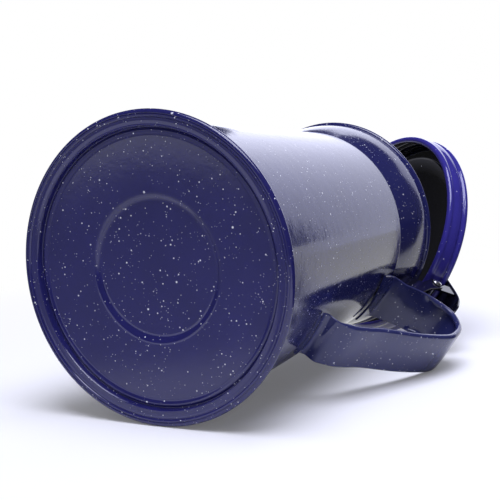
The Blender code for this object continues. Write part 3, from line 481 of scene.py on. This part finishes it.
def handle_strap():
    """Strap swept along its path; each edge is a bead rolled to the hand side.

    The bead grows from half the sheet's thickness after the lower fold and shrinks to it
    before the upper foot, where the strap widens by 3 on each side. Both feet bend round
    the wall, and the free length is crowned across its width.
    """
    steps = 8
    path = through(handle_path(), steps)
    run = np.gradient(path, axis=0)
    run /= np.linalg.norm(run, axis=1, keepdims=True)
    outward = np.stack([run[:, 1], -run[:, 0]], 1)
    index = np.arange(len(path)) / steps
    last = (len(path) - 1) / steps
    from_low, from_high = index - 3.0, index - (last - 3.0)
    roll = np.clip(np.minimum(from_low * 1.3, -from_high - 1.0), 0.0, 1.0)
    roll = HANDLE_SHEET / 2 + roll * roll * (3 - 2 * roll) * (CURL - HANDLE_SHEET / 2)
    foot_spread, thin = 3.0, HANDLE_SHEET / 2
    half = HANDLE_HALF + foot_spread * np.clip(from_high / 3.0, 0.0, 1.0)
    hold = np.clip(-from_low, 0.0, 1.0) - np.clip(from_high - 1.0, 0.0, 1.0)
    end = -180.0 - np.degrees(np.arcsin((roll - HANDLE_SHEET) / roll * (roll > HANDLE_SHEET)))
    end = np.where(roll > HANDLE_SHEET, end, -90.0 - 90.0 * np.clip((roll - thin) / thin, 0.0, 1.0))
    turn = np.radians(90.0 + (end[:, None] - 90.0) * np.linspace(0.0, 1.0, 25)[None, :])
    across = half[:, None] - roll[:, None] * (1.0 - np.cos(turn))
    depth = roll[:, None] * (np.sin(turn) - 1.0)
    flat = np.linspace(0.0, 1.0, 6)[None, :-1]
    top = across[:, :1] * flat
    bottom = across[:, -1:] * flat[:, ::-1]
    level = np.maximum(depth[:, -1:], -HANDLE_SHEET) + 0 * bottom
    across = np.concatenate([top, across, bottom], 1)
    depth = np.concatenate([0 * top, depth, level], 1)
    across = np.concatenate([across, -across[:, ::-1]], 1)
    depth = np.concatenate([depth, depth[:, ::-1]], 1)
    wall = (wall_radius(path[:, 1]) + CLEARANCE)[:, None]
    crown = CROWN * (1.0 - (across / half[:, None]) ** 2) * (1.0 - np.abs(hold[:, None]))
    depth = depth - hold[:, None] * (wall - np.sqrt(wall ** 2 - across ** 2)) - CROWN + crown
    points = np.stack([
        path[:, :1] + outward[:, :1] * depth,
        across,
        path[:, 1:] + outward[:, 1:] * depth,
    ], -1)
    return points.reshape(-1, 3), grid_faces(points.shape[0], points.shape[1], False, True, True)


# The lid and its hinge


def lid_pressing():
    """Closed outline of the lid, turned: edge bead, two bulges and a groove, shelf, dome."""
    bead = arc((60.0, 2.0), 2.0, 62.0 - 360.0, 30.0, 30)
    side = [(61.73, 3.0), (62.1, 4.6), (62.45, 6.4), (62.4, 8.7), (61.7, 9.6), (61.65, 10.4)]
    side += [(62.75, 11.2), (63.0, 12.3), (62.4, 13.7), (61.0, SHELF), (SHELF_RADIUS, SHELF)]
    turn = np.radians(np.linspace(0.0, 90.0, 30))[1:]
    dome = np.stack([SHELF_RADIUS * np.cos(turn), SHELF + DOME_RISE * np.sin(turn) ** 1.6], 1)
    dome = dome[dome[:, 0] > SCREW_HOLE]
    outer = np.concatenate([rounded(side, 0.7, 4), dome, [(SCREW_HOLE, DOME_TOP)]])
    inner = beside(outer, SHEET)[3:]
    inner[-1] = (SCREW_HOLE, DOME_TOP - SHEET)
    return turned(np.concatenate([bead[:-1], outer, inner[::-1]]) + (0.0, LID_SEAT), 300)


def leaf_path():
    """Upper face of the leaf in the XZ plane: flat on the shelf, then curving down."""
    top = LID_SEAT + SHELF + CLEARANCE + LEAF_SHEET
    points = [(53.2, top), (58.1, top), (63.0, top)]
    shares = ((-0.04, 0.01), (0.18, 0.05), (0.38, 0.15), (0.56, 0.33), (0.79, 0.63), (1.0, 1.0))
    for out, down in shares:
        points.append((HINGE[0] + out * LEAF_REACH, top - down * LEAF_DROP))
    return through(points, 8)


def hinge_leaf():
    """Strip with round edges on its path, its width closing to 0.55 at the tab as an ellipse."""
    path = leaf_path()
    edge = LEAF_SHEET / 2
    run = np.gradient(path, axis=0)
    length = np.linalg.norm(np.diff(path, axis=0), axis=1)
    left = np.append(np.cumsum(length[::-1])[::-1], 0.0)
    run /= np.linalg.norm(run, axis=1, keepdims=True)
    outward = np.stack([-run[:, 1], run[:, 0]], 1)
    share = np.minimum(left / LEAF_HALF, 1.0)
    half = LEAF_HALF * (0.55 + 0.45 * np.sqrt(1.0 - (1.0 - share) ** 2))
    turn = np.radians(np.linspace(90.0, -90.0, 13))[None, :]
    across = half[:, None] - edge * (1.0 - np.cos(turn))
    depth = edge * (np.sin(turn) - 1.0) + 0 * across
    flat = np.linspace(0.0, 1.0, 5)[None, :-1]
    across = np.concatenate([across[:, :1] * flat, across, across[:, -1:] * flat[:, ::-1]], 1)
    depth = np.concatenate([0 * depth[:, :4], depth, 0 * depth[:, :4] - LEAF_SHEET], 1)
    across = np.concatenate([across, -across[:, ::-1]], 1)
    depth = np.concatenate([depth, depth[:, ::-1]], 1)
    points = np.stack([
        path[:, :1] + outward[:, :1] * depth,
        across,
        path[:, 1:] + outward[:, 1:] * depth,
    ], -1)
    return points.reshape(-1, 3), grid_faces(points.shape[0], points.shape[1], False, True, True)


def slab(outline, low, high):
    """Outline in the XZ plane carried along Y from low to high, closed at both ends."""
    outline = np.asarray(outline, float)
    rows = [np.stack([outline[:, 0], np.full(len(outline), y), outline[:, 1]], 1) for y in (low, high)]
    return np.concatenate(rows), grid_faces(2, len(outline), False, True, True)


def joined(*parts):
    """Several (points, faces) as one, the later faces shifted past the earlier points."""
    points, faces, start = [], [], 0
    for places, sides in parts:
        points.append(places)
        faces += [[start + v for v in side] for side in sides]
        start += len(places)
    return np.concatenate(points), faces


def leg_top(x):
    """Height of the outer face of the handle's upper leg at a distance from the axis."""
    path = through(handle_path(), 8)
    leg = path[-8 * 7:-8 * 2]
    order = np.argsort(leg[:, 0])
    return np.interp(x, leg[order, 0], leg[order, 1])


def bracket_cheek(side):
    """Cheek of the hinge bracket: foot on the strap, back on the wall, eye for the pin."""
    ear_radius, back = 4.4, 59.0
    ear = arc((HINGE[0], HINGE[2]), ear_radius, -20.0, 200.0, 24)
    foot = np.linspace(back, BRACKET_FRONT, 8)
    outline = [(x, leg_top(x) + CLEARANCE) for x in foot] + [(BRACKET_FRONT, BRACKET_TOP)]
    outline = np.concatenate([outline, ear, [(66.1, BRACKET_TOP), (back, 181.0)]])
    low, high = sorted((side * 9.1, side * 10.3))
    return slab(outline, low, high)


def bracket_web():
    """Front web between the two cheeks, standing on the strap."""
    inside = BRACKET_FRONT - BRACKET_SHEET
    low = [(x, leg_top(x) + CLEARANCE) for x in (inside, BRACKET_FRONT)]
    return slab(low + [(BRACKET_FRONT, BRACKET_TOP), (inside, BRACKET_TOP)], -9.5, 9.5)


def leaf_ear(side):
    """Ear that hangs from the leaf to the pin, inside one cheek."""
    half = 3.9
    ear = arc((HINGE[0], HINGE[2]), half, 180.0, 360.0, 20)
    top = LID_SEAT + SHELF + 0.9
    outline = np.concatenate([ear, [(HINGE[0] + half, top), (HINGE[0] - half, top)]])
    low, high = sorted((side * 8.8, side * 7.6))
    return slab(outline, low, high)


def pin():
    """Hinge pin along Y: shank of radius 1.5 with a domed head at each end."""
    head = rounded([(0.0, 11.9), (1.7, 11.75), (2.9, 11.0), (2.9, 10.6), (1.5, 10.6)], 0.5, 5)
    outline = np.concatenate([head, (head * (1.0, -1.0))[::-1]])
    points, faces = turned(outline, 40)
    return np.stack([points[:, 0], points[:, 2], points[:, 1]], 1) + HINGE, faces


def rivet(side):
    """Rivet through leaf and shelf with a low domed head above and below."""
    above = LID_SEAT + SHELF + CLEARANCE + LEAF_SHEET + CLEARANCE
    below = LID_SEAT + SHELF - SHEET - CLEARANCE
    head = rounded([(0.0, 1.2), (1.9, 0.8), (2.8, 0.0), (1.5, 0.0)], 0.5, 5)
    outline = np.concatenate([head + (0.0, above), (head * (1.0, -1.0) + (0.0, below))[::-1]])
    points, faces = turned(outline, 40)
    return points + (RIVET_X, side * RIVET_Y, 0.0), faces


def knob():
    """Turned knob: spreading foot, waist and a low domed cap, hollow for its screw."""
    foot = LID_SEAT + DOME_TOP + CLEARANCE + WASHER + CLEARANCE
    middle = foot + KNOB_HEIGHT - KNOB_SWELL
    swell = arc((0.0, 0.0), 1.0, -50.0, 90.0, 16) * (KNOB_RADIUS, KNOB_SWELL) + (0.0, middle)
    side = [(SCREW_HOLE, foot), (8.0, foot), (7.6, foot + 1.0), (6.1, foot + 4.2), (6.3, foot + 6.5)]
    side = rounded(side, 0.8, 4)
    swell[:, 0] = np.maximum(swell[:, 0], 0.0)
    bottom = foot + 11.0
    hole = [(0.0, bottom), (SCREW_HOLE, bottom)]
    return turned(np.concatenate([hole, side, swell]), 96)


def washer():
    """Flat ring under the knob with rounded edges."""
    low, rim = LID_SEAT + DOME_TOP + CLEARANCE, 10.0
    high = low + WASHER
    corners = [(SCREW_HOLE, low), (rim, low), (rim, high), (SCREW_HOLE, high)]
    return turned(rounded(corners, 0.3, 4, True), 80)


def screw():
    """Screw from under the lid into the knob, with a domed head."""
    seat = LID_SEAT + DOME_TOP - SHEET - CLEARANCE
    tip = LID_SEAT + DOME_TOP + WASHER + 2 * CLEARANCE + 9.0
    head = rounded([(0.0, seat - 2.2), (3.4, seat - 2.1), (4.5, seat - 1.1), (4.5, seat)], 0.5, 5)
    return turned(np.concatenate([head, [(2.0, seat), (2.0, tip - 0.6), (1.5, tip), (0.0, tip)]]), 48)


def cut(target, name, points, faces):
    """Exact Boolean difference of a piece with a closed mesh, applied to its mesh."""
    mesh = bpy.data.meshes.new(name)
    places = (np.asarray(points) + (POT_X, 0.0, 0.0)) * MM
    mesh.from_pydata(places, [], [list(face) for face in faces])
    work = bmesh.new()
    work.from_mesh(mesh)
    bmesh.ops.recalc_face_normals(work, faces=work.faces)
    work.to_mesh(mesh)
    work.free()
    tool = bpy.data.objects.new(name, mesh)
    bpy.context.collection.objects.link(tool)
    step = target.modifiers.new("cut", "BOOLEAN")
    step.operation, step.solver, step.object = "DIFFERENCE", "EXACT", tool
    bpy.context.view_layer.update()
    result = target.evaluated_get(bpy.context.evaluated_depsgraph_get())
    cut_mesh = bpy.data.meshes.new_from_object(result)
    target.modifiers.remove(step)
    target.data = cut_mesh
    bpy.data.objects.remove(tool)


def soften(target, width):
    """Bevel every sharp edge by a width in millimetres, applied at render time."""
    step = target.modifiers.new("soften", "BEVEL")
    step.width, step.segments, step.limit_method = width * MM, 3, "ANGLE"
    step.angle_limit = math.radians(40)
    step.harden_normals = False


def line_inside(cover):
    """Second material on the faces of the lid that look down or in towards its axis."""
    c, s = math.cos(OPEN_ANGLE), math.sin(OPEN_ANGLE)
    axis = np.array([s, 0.0, c])
    seat = with_lid([(0.0, 0.0, LID_SEAT)])[0] * MM + (POT_X * MM, 0.0, 0.0)
    count = len(cover.data.polygons)
    centres, normals = np.empty(count * 3), np.empty(count * 3)
    cover.data.polygons.foreach_get("center", centres)
    cover.data.polygons.foreach_get("normal", normals)
    centres, normals = centres.reshape(-1, 3) - seat, normals.reshape(-1, 3)
    height = centres @ axis
    radial = centres - height[:, None] * axis
    radial /= np.linalg.norm(radial, axis=1, keepdims=True)
    inward = (normals * (0.7 * radial + 0.7 * axis)).sum(1) < -0.2
    cover.data.polygons.foreach_set("material_index", (inward & (height > 1.0 * MM)).astype(np.int32))


def lid_piece(name, shape, finish_used, slot, node):
    """Piece made in closed-lid places, opened with the lid and standing for its node."""
    points, faces = shape
    made = piece(name, with_lid(points), faces, "lid", finish_used, slot)
    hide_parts(node)
    return made


def pot_piece(name, shape, finish_used, slot, node):
    """Piece of the pot that stands for its node."""
    made = piece(name, *shape, "pot", finish_used, slot)
    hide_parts(node)
    return made


wall = pot_piece("pot_wall", pot_wall(), wall_blue, "body_enamel", "body_shell")
cut(wall, "strainer_plugs", *strainer_holes())
pot_piece("base_pressing", base_plate(), base_blue, "base_enamel", "bottom_plate")
pot_piece("beak_spout", spout_sheet(), wall_blue, "spout_enamel", "spout")
pot_piece("strap_handle", handle_strap(), handle_blue_painted_light, "handle_enamel", "handle_strap")
bracket = pot_piece("lid_bracket", joined(bracket_cheek(-1), bracket_cheek(1), bracket_web()),
                    dark_enamel, "bracket_enamel", "hinge_bracket")
soften(bracket, 0.3)
pot_piece("lid_pin", pin(), steel, "plated_steel", "hinge_pin")

cover = lid_piece("lid_cover", lid_pressing(), lid_violet, "lid_enamel", "lid_shell")
cover.data.materials.append(lid_dark)
line_inside(cover)
lid_piece("thumb_leaf", joined(hinge_leaf(), leaf_ear(-1), leaf_ear(1)),
          dark_enamel, "leaf_enamel", "lid_hinge_leaf")
lid_piece("rivet_left", rivet(-1), steel, "plated_steel", "leaf_rivet_left")
lid_piece("rivet_right", rivet(1), steel, "plated_steel", "leaf_rivet_right")
lid_piece("lid_knob_cap", knob(), black, "black_knob", "lid_knob")
lid_piece("knob_ring", washer(), steel, "plated_steel", "knob_washer")
lid_piece("knob_screw_head", screw(), steel, "plated_steel", "knob_screw")


# Table, light and camera

TABLE_NORMAL = Vector((0.5891, 0.8080, 0.0140)).normalized()
TABLE_DISTANCE = 68.85
RIGHT = Vector((0.725, -0.483, 0.491))
UP = Vector((-0.607, -0.785, 0.124))
FORWARD = Vector((-0.3255, 0.3879, 0.8623))
EYE = Vector((225.4 + POT_X, -265.0, -499.2))


def basis(x, y, z, place):
    """Matrix whose columns are three directions and a place in millimetres."""
    made = Matrix((x, y, z)).transposed().to_4x4()
    made.translation = Vector(place) * MM
    return made


table_up = -TABLE_NORMAL
away = (FORWARD - FORWARD.dot(table_up) * table_up).normalized()
aside = away.cross(table_up).normalized()
TABLE_POINT = TABLE_NORMAL * TABLE_DISTANCE
DAYLIGHT = (0.88, 0.9, 1.08, 1.0)
WHITE = (1.0, 1.0, 1.0, 1.0)

# Colours and borders of the table, the borders in metres from TABLE_POINT
TABLE_PALE, TABLE_SHADED, TABLE_DARK = (0.86, 0.86, 0.87), (0.35, 0.35, 0.38), (0.03, 0.03, 0.035)
DARK_SLOPE, DARK_SOFT, DARK_FROM = 0.76, 0.03, 0.17
SHADE_FROM, SHADE_SOFT = -0.1, 0.12
BRIGHT_SOFT, BRIGHT_FROM = 0.1, 0.12
FADE_CENTRE, FADE_START, FADE_WIDTH = (0.052, 0.046, 0.11), 0.17, 0.25
CAMERA_GLOW = 0.1


def along(place, direction, origin):
    """Distance in metres of a shaded place from an origin along a direction."""
    minus, dot = {"operation": "SUBTRACT"}, {"operation": "DOT_PRODUCT"}
    offset = place.node("ShaderNodeVectorMath", minus, 0, i0=place, i1=tuple(origin * MM))
    return place.node("ShaderNodeVectorMath", dot, 1, i0=offset, i1=tuple(direction))


def table_material():
    """Pale matt table; camera rays see it from above only, and see it fade to plain white.

    Other rays see it darker to the left, and nearly black beyond a slanting line on the
    hinge side, where the room is dark. Glossy rays see its far right part as plain white.
    """
    made = bpy.data.materials.new("table_white")
    made.use_nodes = True
    tree = made.node_tree
    tree.nodes.clear()
    start = Value(tree, None)
    path = tree.nodes.new("ShaderNodeLightPath")
    camera = Value(tree, path.outputs["Is Camera Ray"])
    glossy = Value(tree, path.outputs["Is Glossy Ray"])
    place = Value(tree, tree.nodes.new("ShaderNodeTexCoord").outputs["Object"])
    behind = Value(tree, tree.nodes.new("ShaderNodeNewGeometry").outputs["Backfacing"])
    side, depth = along(place, aside, TABLE_POINT), along(place, away, TABLE_POINT)
    indirect = 1.0 - camera
    past_line = ((side * DARK_SLOPE - depth) / DARK_SOFT).clamped()
    beyond = past_line * indirect * ((side - DARK_FROM) / DARK_SOFT).clamped()
    shaded = ((SHADE_FROM - side) / SHADE_SOFT).clamped() * indirect
    colour = beyond.mixed(shaded.mixed(TABLE_PALE, TABLE_SHADED), TABLE_DARK)
    matt = start.node("ShaderNodeBsdfDiffuse", None, 0, Color=colour)
    glow = start.node("ShaderNodeEmission", None, 0, Color=WHITE, Strength=camera * CAMERA_GLOW)
    near = start.node("ShaderNodeAddShader", None, 0, i0=matt, i1=glow)
    white = start.node("ShaderNodeEmission", None, 0, Color=WHITE, Strength=1.0)
    reach = {"operation": "DISTANCE"}
    middle = start.node("ShaderNodeVectorMath", reach, 1, i0=place, i1=FADE_CENTRE)
    back = ((depth - BRIGHT_FROM) / BRIGHT_SOFT).clamped()
    right = (side / BRIGHT_SOFT).clamped() * back * (1.0 - beyond)
    far = (((middle - FADE_START) / FADE_WIDTH).clamped() * camera + right * glossy).clamped()
    both = start.node("ShaderNodeMixShader", None, 0, i0=far, i1=near, i2=white)
    clear = start.node("ShaderNodeBsdfTransparent", None, 0)
    seen = start.node("ShaderNodeMixShader", None, 0, i0=behind, i1=both, i2=clear)
    output = tree.nodes.new("ShaderNodeOutputMaterial")
    tree.links.new(seen.socket, output.inputs["Surface"])
    return made


def flat_sheet(name, centre, x, y, width, height, material):
    """Staged rectangle round a centre in metres, its normal along the cross product x, y."""
    signs = ((-1, -1), (1, -1), (1, 1), (-1, 1))
    corners = [centre + x * i * width / 2 + y * j * height / 2 for i, j in signs]
    mesh = bpy.data.meshes.new(name)
    mesh.from_pydata(corners, [], [(0, 1, 2, 3)])
    mesh.materials.append(material)
    made = bpy.data.objects.new(name, mesh)
    bpy.context.collection.objects.link(made)
    return made


# The softbox: sizes in millimetres, borders of its cloth in metres from TABLE_POINT
BOX_CENTRE = (335.0, 660.0)
BOX_WIDTH, BOX_HEIGHT = 930.0, 460.0
BOX_STRONG, BOX_WEAK = 2.3, 1.3
WEAKER_FROM, WEAKER_OVER = 0.25, 0.45
CORNER_SLOPE, CORNER_HEIGHT, CORNER_SOFT = 1.5, 0.135, 0.015


def softbox_material():
    """Lamp cloth, stronger at its left end, dark above a slope at its upper left and behind."""
    made = bpy.data.materials.new("softbox_cloth")
    made.use_nodes = True
    tree = made.node_tree
    tree.nodes.clear()
    start = Value(tree, None)
    place = Value(tree, tree.nodes.new("ShaderNodeTexCoord").outputs["Object"])
    behind = Value(tree, tree.nodes.new("ShaderNodeNewGeometry").outputs["Backfacing"])
    side, height = along(place, aside, TABLE_POINT), along(place, table_up, TABLE_POINT)
    right = ((side - WEAKER_FROM) / WEAKER_OVER).clamped()
    corner = (side * CORNER_SLOPE + CORNER_HEIGHT).below(height, CORNER_SOFT)
    cloth_strength = right * (BOX_WEAK - BOX_STRONG) + BOX_STRONG
    strength = cloth_strength * (1.0 - behind) * (1.0 - corner)
    cloth = start.node("ShaderNodeEmission", None, 0, Color=DAYLIGHT, Strength=strength)
    output = tree.nodes.new("ShaderNodeOutputMaterial")
    tree.links.new(cloth.socket, output.inputs["Surface"])
    return made


def lamp(name, place, target, width, height, strength):
    """Soft area lamp at a place in (aside, away, up) millimetres, facing a target point."""
    data = bpy.data.lights.new(name, "AREA")
    data.shape, data.size, data.size_y = "RECTANGLE", width * MM, height * MM
    data.energy, data.color = strength * width * height * MM * MM * math.pi, DAYLIGHT[:3]
    made = bpy.data.objects.new(name, data)
    bpy.context.collection.objects.link(made)
    spot = TABLE_POINT + place[0] * aside + place[1] * away + place[2] * table_up
    goal = TABLE_POINT + target[0] * aside + target[1] * away + target[2] * table_up
    z = (spot - goal).normalized()
    x = z.cross(table_up)
    x = -(x if x.length > 0.01 else aside).normalized()
    made.matrix_world = basis(x, z.cross(x).normalized(), z, spot)
    return made


TABLE_SIDE = 12.0
flat_sheet("table", TABLE_POINT * MM, aside, away, TABLE_SIDE, TABLE_SIDE, table_material())
box_place = TABLE_POINT + BOX_CENTRE[0] * aside + BOX_CENTRE[1] * away + BOX_HEIGHT / 2 * table_up
softbox = flat_sheet("softbox", box_place * MM, aside, table_up, BOX_WIDTH * MM, BOX_HEIGHT * MM,
                     softbox_material())
softbox.visible_camera = False
lamp("overhead", place=(150, -250, 1250), target=(60, 80, 0), width=900, height=900, strength=7.0)
lamp("front_wall", place=(-1500, -750, 230), target=(0, 0, 60), width=1600, height=460, strength=1.1)

ROOM_SEEN, ROOM_MIRRORED, ROOM_OTHER = 1.0, 0.05, 0.25
world = bpy.data.worlds.new("room")
bpy.context.scene.world = world
world.use_nodes = True
background = world.node_tree.nodes["Background"]
rays = world.node_tree.nodes.new("ShaderNodeLightPath")
seen = Value(world.node_tree, rays.outputs["Is Camera Ray"])
mirrored = Value(world.node_tree, rays.outputs["Is Glossy Ray"])
room = seen * (ROOM_SEEN - ROOM_OTHER) + mirrored * (ROOM_MIRRORED - ROOM_OTHER) + ROOM_OTHER
background.inputs["Color"].default_value = WHITE
world.node_tree.links.new(room.socket, background.inputs["Strength"])

SENSOR, LENS = 36.0, 93.6
CLIP_START, CLIP_END = 0.02, 20.0
camera_data = bpy.data.cameras.new("camera")
camera_data.sensor_width, camera_data.lens = SENSOR, LENS
camera_data.clip_start, camera_data.clip_end = CLIP_START, CLIP_END
camera = bpy.data.objects.new("camera", camera_data)
bpy.context.collection.objects.link(camera)
camera.matrix_world = basis(RIGHT.normalized(), UP.normalized(), -FORWARD.normalized(), EYE)
bpy.context.scene.camera = camera

bpy.context.scene.view_settings.view_transform = "Standard"
